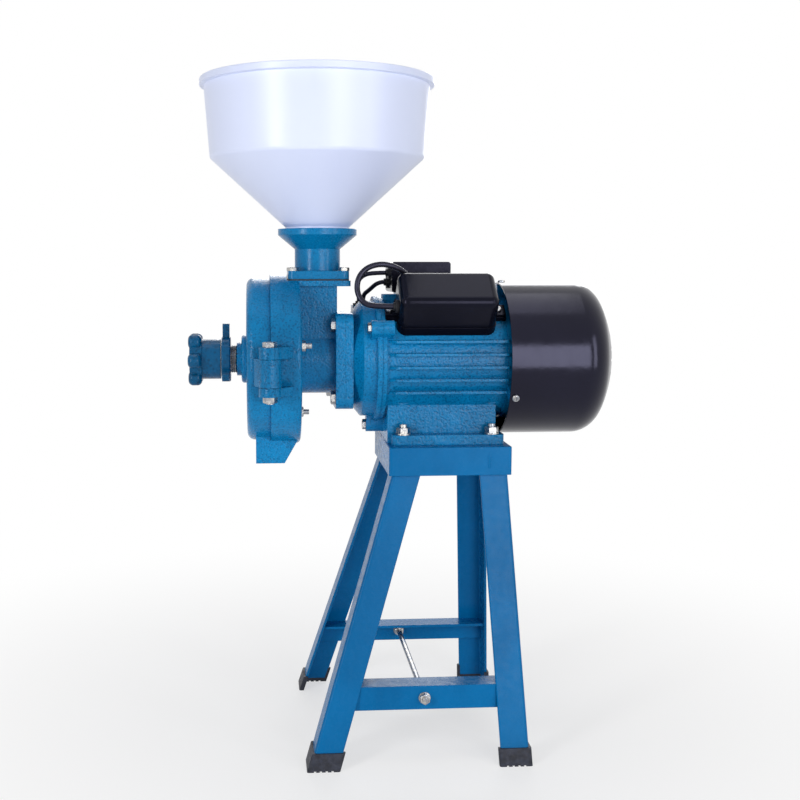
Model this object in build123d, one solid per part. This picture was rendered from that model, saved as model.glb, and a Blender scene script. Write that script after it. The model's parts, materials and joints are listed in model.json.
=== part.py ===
from build123d import *
from math import cos, pi, radians, sin, sqrt, tan
import os

# Electric grain mill on a stand, in millimetres.
# The pieces are laid out about the shaft: X runs along it, from the mill to the motor, x = 0 is
# the face where the front cover meets the mill body, and z = 0 is the shaft's height.
# write() then stands the machine on the floor, with the origin in the middle of its length.
# The side with the hinge is -Y, and the side with the latch is +Y.

# Stand
stand_height = 326.0
frame_length = 130.0
frame_width = 152.0
angle_size = 30.0
angle_wall = 3.2
angle_round = 1.2
angle_heel_round = 3.5
frame_corner_round = 2.5
left_leg_lean = 0.306
right_leg_lean = 0.055
side_leg_lean = 0.192
leg_to_skirt = 0.3
brace_size = 25.0
brace_wall = 3.0
brace_top_over_floor = 82.0
tie_rod_radius = 3.0
tie_rod_left_of_middle = 31.3
foot_wall = 2.2
foot_height = 18.0
foot_sole = 5.0
sole_groove_width = 2.4
sole_groove_depth = 1.2
sole_groove_pitch = 6.0

# Fasteners: shank radius, across flats and head height
m8_radius, m8_flats, m8_head, m8_nut = 4.0, 13.0, 5.3, 6.5
m6_radius, m6_flats, m6_head, m6_nut = 3.0, 10.0, 4.0, 5.0
screw_radius, screw_length, screw_head_radius, screw_head = 2.0, 10.0, 4.0, 2.6
recess_length, recess_width, recess_depth = 4.6, 0.9, 1.3
m8_washer_radius, m6_washer_radius, washer_thickness = 8.0, 6.2, 1.6
countersink_radius, countersink_depth = 6.0, 3.0
bolt_end = 3.0
thread_fit = 0.03
hole_clearance = 0.3

# Fits
shaft_fit = 0.03
running_fit = 0.06
slot_fit = 1.0
seat_gap = 0.3

# Motor
shaft_height = 88.0
shield_length = 38.0
shield_flange = 8.5
shield_neck_radius = 50.0
shield_neck_end = 19.0
shield_radius = 63.0
shield_rim_radius = 68.0
shield_rim = 5.0
shield_web = 2.0
lead_boss_top = 57.0
lead_boss_start, lead_boss_end = 93.0, 113.5
lead_boss_near_y, lead_boss_far_y = 28.0, 57.0
motor_flange_half = 51.0
motor_flange_round = 12.0
flange_bolt_y = 40.0
flange_bolt_z = 38.5
frame_barrel_length = 133.0
frame_barrel_radius = 64.0
frame_barrel_wall = 4.0
frame_rim = 5.0
frame_rim_radius = 67.0
fin_radius = 70.5
fin_thickness = 3.0
fin_pitch = 13.5
fins_below_axis = 32.0
fin_run_out = 9.0
foot_middle_shift = 4.5
motor_foot_length = 120.0
motor_foot_width = 120.0
motor_foot_thickness = 10.5
pedestal_width = 87.0
pedestal_start_room, pedestal_end_room = 7.5, 8.5
foot_bolt_pitch_x = 95.0
foot_bolt_pitch_y = 104.0
ear_bolt_circle = 73.0
ear_radius = 8.0
ear_length = 12.0
core_start_room, core_end_room = 28.0, 35.0
core_inner_radius = 38.0
air_gap = 0.7
winding_length = 15.0
winding_inner_radius = 41.0
winding_outer_radius = 56.0
rotor_ring_length = 6.0
rotor_ring_radius = 34.0
drive_bearing_radius, drive_bearing_width = 26.0, 15.0
rear_bearing_radius, rear_bearing_width = 23.5, 14.0
bearing_lip = 5.0
rear_shield_thickness = 12.0
rear_shield_radius = 66.0
rear_bearing_offset = 4.0
rear_boss_circle = 52.0
rear_boss_radius = 7.0
rear_boss_length = 14.0
cover_ear_width = 12.0

# Shaft
shaft_end = 1.0
stub_radius = 10.0
drive_radius = 12.5
core_seat_radius = 15.0
fan_seat_radius = 8.0
key_width = 6.0
key_length = 12.0

# Fan and its cover
fan_offset = 30.0
fan_radius = 62.0
fan_width = 24.0
fan_hub_radius = 14.0
fan_blades = 8
fan_blade_thickness = 2.5
fan_cover_radius = 83.0
fan_cover_straight = 81.0
fan_cover_corner = 30.0
fan_cover_crown = 28.0
fan_cover_wall = 1.5
fan_slots = 24
fan_slot_width = 4.0
fan_slot_inner, fan_slot_outer = 22.0, 54.0

# Capacitor cover, turned about the shaft from the top towards the hinge side
capacitor_tilt = 39.5
capacitor_cover_offset = 16.5
capacitor_cover_end_room = 13.0
capacitor_cover_width = 51.0
capacitor_cover_height = 36.0
capacitor_cover_wall = 2.0
capacitor_cover_round = 9.0
saddle_thickness = 4.5
saddle_border = 1.0
tab_length = 12.5
tab_screw_offset = 8.0
tab_width = 20.0
cover_ear_thickness = 2.5
capacitor_radius = 15.0
capacitor_can_room = 6.75

# Switch box
box_offset = 17.0
box_length = 65.0
box_near_y, box_far_y = 4.0, 64.0
box_bottom, box_top = 72.0, 105.5
box_wall = 2.5
box_lid = 3.0
box_boss_radius = 4.0
box_boss_length = 18.0
box_pad_inset = 8.0
switch_length, switch_height, switch_depth = 27.0, 17.0, 18.0
bezel_border, bezel_thickness = 1.5, 2.0
rocker_radius, rocker_height, rocker_rise = 10.8, 12.0, 4.0
rocker_tilt = 12.0
rocker_pin_radius = 1.5
gland_stem_radius, gland_flange_radius = 5.0, 7.0
gland_flange, gland_length, gland_collar_wall = 2.5, 5.0, 1.5
supply_lead_radius, capacitor_lead_radius, motor_lead_radius = 3.5, 3.0, 2.5

# Mill
cover_depth = 25.0
cover_radius = 88.0
cover_wall = 6.0
cover_round = 8.0
pan_radius = 92.0
pan_wall = 6.0
pan_depth = 24.0
pan_back = 8.0
pan_round = 4.0
barrel_radius = 37.5
barrel_bore = 26.0
barrel_length = 40.0
barrel_end_wall = 2.0
shaft_passage = 0.7
seal_seat_radius, seal_seat_depth, seal_width = 20.0, 13.0, 8.0
mill_flange_thickness = 10.0
inlet_x = 52.0
inlet_top = 85.5
inlet_flange_thickness = 6.0
inlet_flange_length, inlet_flange_width = 68.0, 70.0
inlet_round = 6.0
duct_width, duct_wall, duct_channel_width = 58.0, 5.5, 44.0
spout_bottom = 110.0
spout_half_width = 34.0
spout_wall = 4.5
spout_body_depth = 14.7
spout_cover_depth = 16.0
hinge_x, hinge_y = -1.0, 104.0
knuckle_radius = 11.5
knuckle_bottom, knuckle_top = -20.7, 7.7
upper_lug_height, lower_lug_height = 12.0, 9.0
lug_arm = 22.0

# Grinding discs
disc_radius, disc_bore = 75.0, 26.0
fixed_disc_thickness = 7.5
runner_disc_thickness = 9.0
disc_gap = 2.5
disc_grooves = 24
disc_groove_width, disc_groove_depth = 2.0, 1.2
fixed_disc_bolt_circle, fixed_disc_bolt_angle = 62.0, 73.0
fixed_disc_bolt_tail = 11.0
runner_screw_circle = 45.0
runner_screw_length = 14.0
carrier_radius, carrier_thickness = 60.0, 8.0
carrier_hub_radius = 19.0
carrier_hub_front = 4.2
carrier_bore_end = 3.2
auger_radius, auger_core_radius = 24.5, 13.5
auger_pitch, flight_thickness = 22.0, 3.5
spring_room = 8.0
spring_radius, spring_wire, spring_turns = 12.2, 1.6, 2.5

# Adjuster
screw_thread_radius, thread_pitch, thread_depth = 15.0, 2.0, 0.9
boss_radius, boss_length = 18.0, 11.0
collar_radius, collar_length = 26.0, 6.0
inner_boss_length = 7.0
screw_inner_end = 10.0
ball_radius = 5.0
ball_stand_out = 2.5
lock_nut_radius, lock_nut_width, lock_nut_gap = 24.5, 9.7, 6.7
lug_tip_radius, lug_width, lug_thickness = 38.7, 9.0, 7.5
knob_gap = 1.0
hub_radius, hub_length = 21.5, 20.1
knob_length = 14.6
lobe_radius, lobe_circle, knob_lobes = 8.0, 22.5, 6
lobe_round = 5.0
spigot_radius = 10.0

# Hopper and its adapter
gasket_thickness = 1.5
adapter_flange_size, adapter_flange_thickness = 65.0, 8.6
adapter_bolt_pitch = 54.0
adapter_bolt_length = 15.5
adapter_radius, adapter_bore = 24.6, 20.0
adapter_neck_height = 23.4
adapter_cone_height = 15.0
adapter_rim_radius, adapter_rim_height = 42.6, 6.5
hopper_neck_radius = 34.5
hopper_neck_height = 8.4
hopper_wall = 2.5
hopper_cone_radius, hopper_cone_height = 115.0, 73.1
hopper_mouth_radius, hopper_side_height = 120.7, 74.5
hopper_crease_round = 6.0
hopper_lip, hopper_lip_height = 4.4, 8.0

# Places along the shaft
pan_end = pan_depth + pan_back
barrel_end = pan_depth + barrel_length
seal_start = barrel_end + barrel_end_wall
motor_face = seal_start + seal_seat_depth
mill_flange_start = motor_face - mill_flange_thickness
shield_flange_end = motor_face + shield_flange
drive_bearing_start = motor_face + bearing_lip
drive_bearing_end = drive_bearing_start + drive_bearing_width
frame_start = motor_face + shield_length
frame_end = frame_start + frame_barrel_length
ear_start = frame_start - ear_length
middle_x = (frame_start + frame_end) / 2 + foot_middle_shift
core_start = frame_start + core_start_room
core_end = frame_end - core_end_room
rear_bearing_start = frame_end + rear_bearing_offset
rear_bearing_end = rear_bearing_start + rear_bearing_width
rear_shield_end = rear_bearing_end + rear_bearing_offset
fan_start = frame_end + fan_offset
fan_end = fan_start + fan_width
fixed_disc_face = pan_depth - fixed_disc_thickness
runner_face = fixed_disc_face - disc_gap
carrier_face = runner_face - runner_disc_thickness
carrier_front = carrier_face - carrier_thickness
carrier_hub_start = carrier_front - carrier_hub_front
carrier_bore_start = shaft_end - carrier_bore_end
auger_start = runner_face + spring_room
auger_end = barrel_end - barrel_end_wall
boss_end = -cover_depth - boss_length
lock_nut_end = boss_end - lock_nut_gap
lock_nut_start = lock_nut_end - lock_nut_width
hub_end = lock_nut_start - knob_gap
knob_end = hub_end - hub_length
knob_start = knob_end - knob_length
inner_boss_end = cover_wall + inner_boss_length - cover_depth

# Heights and radii that follow
floor = -(stand_height + shaft_height)
frame_top = -shaft_height
frame_under = frame_top - angle_wall
skirt_bottom = frame_top - angle_size
motor_foot_top = frame_top + motor_foot_thickness
brace_top = floor + brace_top_over_floor
brace_bottom = brace_top - brace_size
tie_rod_z = brace_top - brace_size / 2
tie_rod_x = middle_x - tie_rod_left_of_middle
leg_bottom = floor + foot_sole
frame_bore = frame_barrel_radius - frame_barrel_wall
core_outer_radius = frame_bore
rotor_radius = core_inner_radius - air_gap
crown_sine = sin(radians(fan_cover_crown))
crown_radius = (fan_cover_radius - fan_cover_corner + fan_cover_corner * crown_sine) / crown_sine
cover_corner_x = frame_end + fan_cover_straight
crown_x = cover_corner_x + (fan_cover_corner - crown_radius) * cos(radians(fan_cover_crown))
fan_cover_end = crown_x + crown_radius
box_start = frame_start + box_offset
box_end = box_start + box_length
box_middle = (box_start + box_end) / 2
capacitor_start = frame_start + capacitor_cover_offset
capacitor_end = frame_end - capacitor_cover_end_room
capacitor_length = (capacitor_end - capacitor_start) / 2 - capacitor_can_room
saddle_top = frame_barrel_radius + saddle_thickness
tab_screw_r = saddle_top + cover_ear_thickness
tab_screws_x = (capacitor_start - tab_screw_offset, capacitor_end + tab_length - tab_screw_offset)
upper_lug_top = knuckle_top + seat_gap + upper_lug_height
lower_lug_bottom = knuckle_bottom - seat_gap - lower_lug_height
gasket_top = inlet_top + gasket_thickness
adapter_flange_top = gasket_top + adapter_flange_thickness
adapter_neck_top = adapter_flange_top + adapter_neck_height
adapter_seat = adapter_neck_top + adapter_cone_height
adapter_top = adapter_seat + adapter_rim_height
hopper_cone_start = adapter_seat + hopper_neck_height
hopper_cone_end = hopper_cone_start + hopper_cone_height
hopper_lip_start = hopper_cone_end + hopper_side_height
hopper_top = hopper_lip_start + hopper_lip_height

axis_height = -floor
origin_x = (knob_start + fan_cover_end) / 2

# Leads, as points chosen along their way. Each starts and ends at a gland's face.
switch_gland_x, switch_gland_z = 151.0, 86.0
upper_gland_y, upper_gland_z = 22.0, 93.5
lower_gland_y, lower_gland_z = 40.0, 83.0
capacitor_gland_t, capacitor_gland_r = -7.0, 82.0
upper_shield_gland = (100.5, 36.0)
lower_shield_gland = (106.5, 50.0)


def block(x_start, x_end, y_start, y_end, z_start, z_end):
    """A box between six planes."""
    middle = Pos((x_start + x_end) / 2, (y_start + y_end) / 2, (z_start + z_end) / 2)
    return middle * Box(x_end - x_start, y_end - y_start, z_end - z_start)


def along_x(radius, x_start, x_end, y=0.0, z=0.0):
    """A cylinder along X."""
    return Pos((x_start + x_end) / 2, y, z) * Rot(0, 90, 0) * Cylinder(radius, x_end - x_start)


def along_y(radius, y_start, y_end, x=0.0, z=0.0):
    """A cylinder along Y."""
    return Pos(x, (y_start + y_end) / 2, z) * Rot(90, 0, 0) * Cylinder(radius, y_end - y_start)


def along_z(radius, z_start, z_end, x=0.0, y=0.0):
    """A cylinder along Z."""
    return Pos(x, y, (z_start + z_end) / 2) * Cylinder(radius, z_end - z_start)


def ring_x(outer, inner, x_start, x_end):
    """A ring about the shaft."""
    return along_x(outer, x_start, x_end) - along_x(inner, x_start - 1, x_end + 1)


def turned(profile):
    """A piece turned about the shaft, from (x, radius) corners."""
    face = make_face(Polyline(*[(x, 0, radius) for x, radius in profile], close=True))
    return revolve(face, Axis.X, 360)


def turned_up(profile, x):
    """A piece turned about a vertical axis at x, from (radius, z) corners."""
    face = make_face(Polyline(*[(x + radius, 0, z) for radius, z in profile], close=True))
    return revolve(face, Axis((x, 0, 0), (0, 0, 1)), 360)


def plate_y(corners, y_start, y_end):
    """A plate between two y planes, from (x, z) corners."""
    face = make_face(Polyline(*[(x, y_start, z) for x, z in corners], close=True))
    return extrude(face, amount=y_end - y_start, dir=(0, 1, 0))


def plate_z(corners, z_start, z_end):
    """A plate between two z planes, from (x, y) corners."""
    face = make_face(Polyline(*[(x, y, z_start) for x, y in corners], close=True))
    return extrude(face, amount=z_end - z_start, dir=(0, 0, 1))


def square_flange(x_start, x_end, half, corner):
    """A square flange across the shaft with round corners."""
    return fillet(block(x_start, x_end, -half, half, -half, half).edges().filter_by(Axis.X), corner)


def facing(place, out):
    """The place and direction of a fastener whose head points out."""
    return Plane(origin=place, z_dir=out).location


def hexagon(flats, height):
    """A hexagonal head or nut from z = 0 up, with its corners turned off."""
    edge = 0.12 * flats
    blank = Pos(0, 0, height / 2) * Cylinder(flats / sqrt(3), height)
    blank = chamfer(blank.edges().group_by(Axis.Z)[-1], edge / 2, edge)
    return blank & extrude(RegularPolygon(flats / 2, 6, major_radius=False), height)


def bolt(radius, length, flats, head):
    """A bolt with its head above z = 0 and its shank below."""
    return hexagon(flats, head) + along_z(radius, -length, 0.1)


def nut(radius, flats, height):
    """A nut from z = 0 up."""
    return hexagon(flats, height) - along_z(radius + thread_fit, -1, height + 1)


def washer(radius, outer):
    """A washer from z = 0 up."""
    return along_z(outer, 0, washer_thickness) - along_z(radius + hole_clearance, -1, washer_thickness + 1)


def cover_screw():
    """A pan-head screw with its head above z = 0 and a cross recess."""
    head = along_z(screw_head_radius, 0, screw_head)
    head = fillet(head.edges().group_by(Axis.Z)[-1], 0.45 * screw_head)
    for turn in (0, 90):
        head -= Rot(0, 0, turn) * Pos(0, 0, screw_head) * Box(recess_length, recess_width, 2 * recess_depth)
    return head + along_z(screw_radius, -screw_length, 0.1)


def countersunk_screw(radius, length):
    """A countersunk screw with its face at z = 0."""
    head = Pos(0, 0, -countersink_depth / 2)
    head = head * Cone(radius, countersink_radius, countersink_depth)
    return head + along_z(radius, -length, -countersink_depth / 2)


def countersunk_hole(radius, length):
    """What a countersunk screw needs taken out below z = 0."""
    head = Pos(0, 0, -countersink_depth / 2)
    wide = countersink_radius + hole_clearance
    return head * Cone(radius + hole_clearance, wide, countersink_depth) + along_z(
        radius + hole_clearance, -length, 0
    )


def gland(lead_radius):
    """A rubber gland for a lead, in a wall whose face is z = 0."""
    stem = along_z(gland_stem_radius, -box_wall, gland_flange)
    flange = along_z(gland_flange_radius, 0, gland_flange)
    return stem + flange + along_z(lead_radius + gland_collar_wall, 0, gland_length)


def on_shaft_circle(angle, radius):
    """(y, z) at a radius from the shaft, at an angle from the top towards -Y."""
    return (-radius * sin(radians(angle)), radius * cos(radians(angle)))


def tilted(t, r):
    """(y, z) of a point t across and r out in the capacitor cover's tilted frame."""
    y, z = on_shaft_circle(capacitor_tilt, r)
    return (y + t * cos(radians(capacitor_tilt)), z + t * sin(radians(capacitor_tilt)))


# Stand


def leg_lean(side):
    """How far a leg moves out along X for each millimetre down; side is -1 left, 1 right."""
    return left_leg_lean if side < 0 else right_leg_lean


def leg_corner(side, end, z):
    """(x, y) of a leg's outer corner at a height; end is -1 on the hinge side, 1 on the other."""
    fall = skirt_bottom - z
    x = frame_length / 2 - angle_wall - leg_to_skirt + leg_lean(side) * fall
    y = frame_width / 2 - angle_wall - leg_to_skirt + side_leg_lean * fall
    return (middle_x + side * x, end * y)


def down_the_leg(section, side, end, z_start, z_end):
    """A section swept down a leg's slope from one height to another."""
    slope = (side * leg_lean(side), end * side_leg_lean, -1)
    fall = (z_start - z_end) * sqrt(slope[0] ** 2 + slope[1] ** 2 + 1)
    return extrude(Pos(0, 0, z_start) * section, amount=fall, dir=slope)


def foot_bolt_places():
    """(x, y) of the four bolts that hold the motor on the stand."""
    places = []
    for side in (-1, 1):
        for end in (-1, 1):
            places.append((middle_x + side * foot_bolt_pitch_x / 2, end * foot_bolt_pitch_y / 2))
    return places


def stand_top_frame():
    half_x = frame_length / 2
    half_y = frame_width / 2
    ring = block(middle_x - half_x, middle_x + half_x, -half_y, half_y, skirt_bottom, frame_top)
    ring = fillet(ring.edges().filter_by(Axis.Z), frame_corner_round)
    ring = fillet(ring.edges().group_by(Axis.Z)[-1], angle_round)
    in_x = half_x - angle_wall
    in_y = half_y - angle_wall
    ring -= block(middle_x - in_x, middle_x + in_x, -in_y, in_y, skirt_bottom - 1, frame_under)
    open_x = half_x - angle_size
    open_y = half_y - angle_size
    ring -= block(middle_x - open_x, middle_x + open_x, -open_y, open_y, skirt_bottom, frame_top + 1)
    for x, y in foot_bolt_places():
        ring -= along_z(m8_radius + hole_clearance, skirt_bottom, frame_top + 1, x, y)
    return ring


def leg(side, end):
    """A length of angle iron with its corner outward, cut level at both ends."""
    corner_x, corner_y = leg_corner(side, end, frame_under)
    inner_x = corner_x - side * angle_size
    inner_y = corner_y - end * angle_size
    wall_x = corner_x - side * angle_wall
    wall_y = corner_y - end * angle_wall
    section = Polygon(
        (corner_x, corner_y),
        (inner_x, corner_y),
        (inner_x, wall_y),
        (wall_x, wall_y),
        (wall_x, inner_y),
        (corner_x, inner_y),
        align=None,
    )
    heel, *others = section.vertices().sort_by_distance((corner_x, corner_y, 0))
    section = fillet(others, angle_round)
    heel = section.vertices().sort_by_distance((corner_x, corner_y, 0))[0]
    section = fillet(heel, angle_heel_round)
    iron = down_the_leg(section, side, end, frame_under, leg_bottom)
    notch = m8_flats / sqrt(3) + seat_gap
    for x, y in foot_bolt_places():
        iron -= along_z(notch, frame_under - m8_head - 1, frame_under + 1, x, y)
    return iron


def brace(end, legs):
    """An angle iron between two legs, its web behind their front flanges."""
    web = abs(leg_corner(-1, end, tie_rod_z)[1]) - angle_wall
    corners = []
    for side, z in ((-1, brace_bottom), (1, brace_bottom), (1, brace_top), (-1, brace_top)):
        corners.append((leg_corner(side, end, z)[0] - side * angle_wall, z))
    bar = plate_y(corners, web - brace_size, web)
    bar -= block(
        middle_x - 2 * frame_length,
        middle_x + 2 * frame_length,
        web - brace_size - 1,
        web - brace_wall,
        brace_bottom - 1,
        brace_top - brace_wall,
    )
    bar -= along_y(tie_rod_radius + hole_clearance, 0, 2 * web, tie_rod_x, tie_rod_z)
    if end < 0:
        bar = mirror(bar, about=Plane.XZ)
    for one in legs:
        bar -= one
    return bar


def brace_face(end):
    """The y of a brace's outer face."""
    return leg_corner(-1, end, tie_rod_z)[1] - end * angle_wall


def tie_rod():
    reach = brace_face(1) + washer_thickness + m6_nut + bolt_end
    rod = along_y(tie_rod_radius, -reach, reach, tie_rod_x, tie_rod_z)
    return chamfer(rod.edges().filter_by(GeomType.CIRCLE), 0.5)


def tie_rod_nuts():
    pieces = []
    for end in (-1, 1):
        outside = (tie_rod_x, brace_face(end), tie_rod_z)
        inside = (tie_rod_x, brace_face(end) - end * brace_wall, tie_rod_z)
        for place, out in ((outside, end), (inside, -end)):
            seat = facing(place, (0, out, 0))
            pieces.append(seat * washer(tie_rod_radius, m6_washer_radius))
            pieces.append(seat * Pos(0, 0, washer_thickness) * nut(tie_rod_radius, m6_flats, m6_nut))
    return pieces


def rubber_foot(side, end, iron):
    """An L-shaped boot round the outside of the leg's end, with a grooved sole."""
    top = floor + foot_height
    corner_x, corner_y = leg_corner(side, end, top)
    size = angle_size + 2 * foot_wall
    centre_x = corner_x - side * angle_size / 2
    centre_y = corner_y - end * angle_size / 2
    section = Pos(centre_x, centre_y) * RectangleRounded(size, size, foot_wall)
    boot = down_the_leg(section, side, end, top, floor)
    reach = angle_size + foot_wall
    corner = Pos(corner_x - side * (angle_wall + reach / 2), corner_y - end * (angle_wall + reach / 2))
    boot -= down_the_leg(corner * Rectangle(reach, reach), side, end, top, floor)
    middle = leg_corner(side, end, floor)[0] - side * angle_size / 2
    count = int(size / 2 / sole_groove_pitch)
    for step in range(-count, count):
        groove_x = middle + (step + 0.5) * sole_groove_pitch
        boot -= block(
            groove_x - sole_groove_width / 2,
            groove_x + sole_groove_width / 2,
            -2 * frame_width,
            2 * frame_width,
            floor - 1,
            floor + sole_groove_depth,
        )
    return boot - iron


def foot_bolts():
    length = angle_wall + motor_foot_thickness + washer_thickness + m8_nut + bolt_end
    one = bolt(m8_radius, length, m8_flats, m8_head)
    return [facing((x, y, frame_under), (0, 0, -1)) * one for x, y in foot_bolt_places()]


def foot_nuts():
    pieces = []
    for x, y in foot_bolt_places():
        seat = facing((x, y, motor_foot_top), (0, 0, 1))
        pieces.append(seat * washer(m8_radius, m8_washer_radius))
        pieces.append(seat * Pos(0, 0, washer_thickness) * nut(m8_radius, m8_flats, m8_nut))
    return pieces


# Motor

ear_angles = (60.0, 180.0, 300.0)
rear_boss_angles = (0.0, 120.0, 240.0)
cover_screw_angles = (-4.0, 116.0, 236.0)


def ear(x_start, x_end, angle):
    """A bolt ear outside the barrel."""
    lug = along_x(ear_radius, x_start, x_end, z=ear_bolt_circle)
    lug += block(x_start, x_end, -ear_radius, ear_radius, frame_bore, ear_bolt_circle)
    return Rot(angle, 0, 0) * lug


def side_fin(z, side):
    """A cooling fin that runs out at its drive end."""
    root = sqrt((frame_barrel_radius - frame_barrel_wall / 2) ** 2 - z**2)
    tip = sqrt(fin_radius**2 - z**2)
    corners = [
        (frame_start + frame_rim, side * root),
        (frame_start + frame_rim + fin_run_out, side * tip),
        (frame_end, side * tip),
        (frame_end, side * root),
    ]
    return plate_z(corners, z - fin_thickness / 2, z + fin_thickness / 2)


def capacitor_screw_places():
    """Places of the two screws that hold the capacitor cover, in its tilted frame."""
    return [(x, 0, tab_screw_r) for x in tab_screws_x]


def box_screw_places():
    """Places of the two screws on the switch box's floor."""
    y = (box_near_y + box_far_y) / 2 - box_boss_radius
    inset = box_pad_inset + 2 * screw_head_radius
    return [(x, y, box_bottom + box_wall) for x in (box_start + inset, box_end - inset)]


def motor_frame():
    """The finned barrel with its pedestal, foot and switch box pad."""
    frame = along_x(frame_barrel_radius, frame_start, frame_end)
    frame += along_x(frame_rim_radius, frame_start, frame_start + frame_rim)
    for step in range(5):
        for side in (-1, 1):
            frame += side_fin(step * fin_pitch - fins_below_axis, side)
    for step in (-1, 0):
        y = step * fin_pitch
        frame += block(
            frame_start + frame_rim,
            frame_end,
            y - fin_thickness / 2,
            y + fin_thickness / 2,
            frame_bore,
            fin_radius,
        )
    frame += block(
        frame_start + pedestal_start_room,
        frame_end - pedestal_end_room,
        -pedestal_width / 2,
        pedestal_width / 2,
        frame_top,
        -shaft_height / 2,
    )
    foot = block(
        middle_x - motor_foot_length / 2,
        middle_x + motor_foot_length / 2,
        -motor_foot_width / 2,
        motor_foot_width / 2,
        frame_top,
        motor_foot_top,
    )
    frame += fillet(foot.edges().filter_by(Axis.Z), 5)
    frame += block(
        box_start + box_pad_inset,
        box_end - box_pad_inset,
        box_near_y + box_pad_inset,
        box_far_y - box_pad_inset,
        box_bottom / 2,
        box_bottom,
    )
    for angle in ear_angles:
        frame += ear(frame_start, frame_start + ear_length, angle)
    frame -= along_x(frame_bore, frame_start - 1, frame_end + 1)
    for angle in rear_boss_angles:
        boss = along_x(rear_boss_radius, frame_end - rear_boss_length, frame_end, z=rear_boss_circle)
        web = block(
            frame_end - rear_boss_length,
            frame_end,
            -rear_boss_radius,
            rear_boss_radius,
            rear_boss_circle,
            frame_bore + frame_barrel_wall / 2,
        )
        hole = along_x(m6_radius + thread_fit, frame_end - rear_boss_length, frame_end, z=rear_boss_circle)
        frame += Rot(angle, 0, 0) * (boss + web)
        frame -= Rot(angle, 0, 0) * hole
    for angle in ear_angles:
        hole = along_x(
            m6_radius + thread_fit, frame_start - 1, frame_start + ear_length + 1, z=ear_bolt_circle
        )
        frame -= Rot(angle, 0, 0) * hole
    for x, y in foot_bolt_places():
        frame -= along_z(m8_radius + hole_clearance, frame_top - 1, motor_foot_top + 1, x, y)
        frame -= along_z(m8_washer_radius + hole_clearance, motor_foot_top, -shaft_height / 2, x, y)
    for x, y, z in capacitor_screw_places():
        hole = along_z(screw_radius + thread_fit, z - screw_length - 1, z, x, y)
        frame -= Rot(capacitor_tilt, 0, 0) * hole
    for x, y, z in box_screw_places():
        frame -= along_z(screw_radius + thread_fit, z - screw_length, z, x, y)
    return frame


def stator_core():
    return ring_x(core_outer_radius, core_inner_radius, core_start, core_end)


def stator_windings():
    """The two end windings, one on each face of the core."""
    pieces = []
    for start in (core_start - winding_length, core_end):
        coil = ring_x(winding_outer_radius, winding_inner_radius, start, start + winding_length)
        outer = coil.edges().filter_by(GeomType.CIRCLE)
        face = start if start < core_start else start + winding_length
        away = [edge for edge in outer if abs(edge.center().X - face) < 0.1]
        pieces.append(fillet(away, 4))
    return pieces


def rotor_core():
    core = along_x(rotor_radius, core_start, core_end)
    ring = along_x(rotor_ring_radius, core_start - rotor_ring_length, core_end + rotor_ring_length)
    return core + ring - along_x(core_seat_radius, core_start - 20, core_end + 20)


def motor_shaft():
    """The stepped shaft, from its stub in the mill to the fan seat."""
    steps = [
        (shaft_end, auger_end, stub_radius),
        (auger_end, drive_bearing_end, drive_radius),
        (drive_bearing_end, core_end + rotor_ring_length, core_seat_radius),
        (core_end + rotor_ring_length, rear_bearing_start, drive_radius),
        (rear_bearing_start, fan_start - 2, stub_radius),
        (fan_start - 2, fan_end, fan_seat_radius),
    ]
    profile = [(steps[0][0], 0)]
    for start, end, radius in steps:
        profile.append((start, radius))
        profile.append((end, radius))
    profile.append((steps[-1][1], 0))
    shaft = turned(profile)
    return shaft - key_block(0)


def key_block(play):
    """The key's space, with play on its sides and top."""
    half = key_width / 2 + play
    start = shaft_end + 1 - play
    bottom = stub_radius - key_width / 2
    return block(start, start + key_length + play, -half, half, bottom, bottom + key_width + play)


def drive_end_shield():
    """The bell at the drive end: flange, neck, bearing seat, rim and three ears."""
    seat = drive_bearing_radius + shaft_fit
    inside = shield_rim_radius - 2 * shield_rim
    profile = [
        (motor_face, drive_radius + 1),
        (drive_bearing_start, drive_radius + 1),
        (drive_bearing_start, seat),
        (drive_bearing_end, seat),
        (drive_bearing_end, seat + 4),
        (drive_bearing_end + shield_web, inside - 2),
        (frame_start, inside),
        (frame_start, shield_rim_radius),
        (frame_start - shield_rim, shield_rim_radius),
        (frame_start - shield_rim, shield_radius),
        (motor_face + shield_neck_end, shield_radius),
        (shield_flange_end, shield_neck_radius),
        (motor_face, shield_neck_radius),
    ]
    shield = turned(profile)
    flange = square_flange(motor_face, shield_flange_end, motor_flange_half, motor_flange_round)
    shield += flange - along_x(shield_neck_radius - 2, motor_face - 1, shield_flange_end + 1)
    for y in (-flange_bolt_y, flange_bolt_y):
        for z in (-flange_bolt_z, flange_bolt_z):
            shield -= along_x(m8_radius + thread_fit, motor_face - 1, shield_flange_end + 1, y, z)
    for angle in ear_angles:
        lug = ear(ear_start, frame_start, angle)
        hole = along_x(m6_radius + hole_clearance, ear_start - 1, frame_start + 1, z=ear_bolt_circle)
        shield += lug
        shield -= Rot(angle, 0, 0) * hole
    shield += block(
        lead_boss_start, lead_boss_end, lead_boss_near_y, lead_boss_far_y, 0, lead_boss_top
    )
    shield -= turned(
        [
            (drive_bearing_end, 0),
            (drive_bearing_end, seat + 4),
            (drive_bearing_end + shield_web, inside - 2),
            (frame_start + 1, inside),
            (frame_start + 1, 0),
        ]
    )
    for x, y in (upper_shield_gland, lower_shield_gland):
        shield -= along_z(gland_stem_radius, lead_boss_top / 2, lead_boss_top + 1, x, y)
    return shield


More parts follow.
